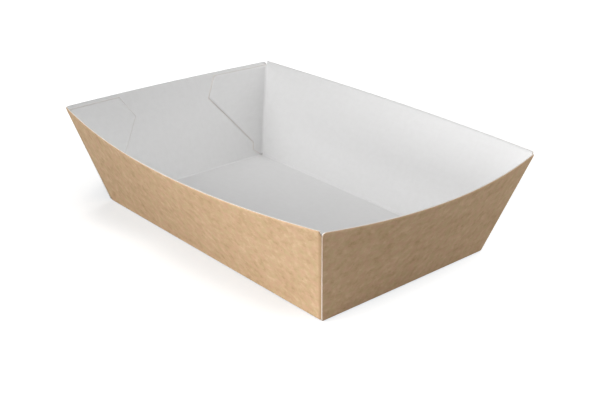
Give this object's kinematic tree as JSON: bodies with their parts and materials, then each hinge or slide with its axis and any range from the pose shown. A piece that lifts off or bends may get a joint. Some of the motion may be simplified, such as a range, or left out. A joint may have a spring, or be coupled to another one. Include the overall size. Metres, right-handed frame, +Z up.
{
  "type": "food tray",
  "caption": "Open rectangular food tray folded from one sheet of kraft board, white inside, with leaning walls that curve outwards at the rim and flaps glued at the corners.",
  "frame": {"origin": "middle of the underside of the flat base", "axes": "+X along the tray's length, +Y across it, +Z up out of its open top"},
  "size_m": [0.191, 0.1398, 0.0471],
  "materials": {
    "kraft_board": "matt brown kraft outside, matt white inside"
  },
  "bodies": {
    "root": {"tray": "kraft_board"}
  },
  "joints": []
}
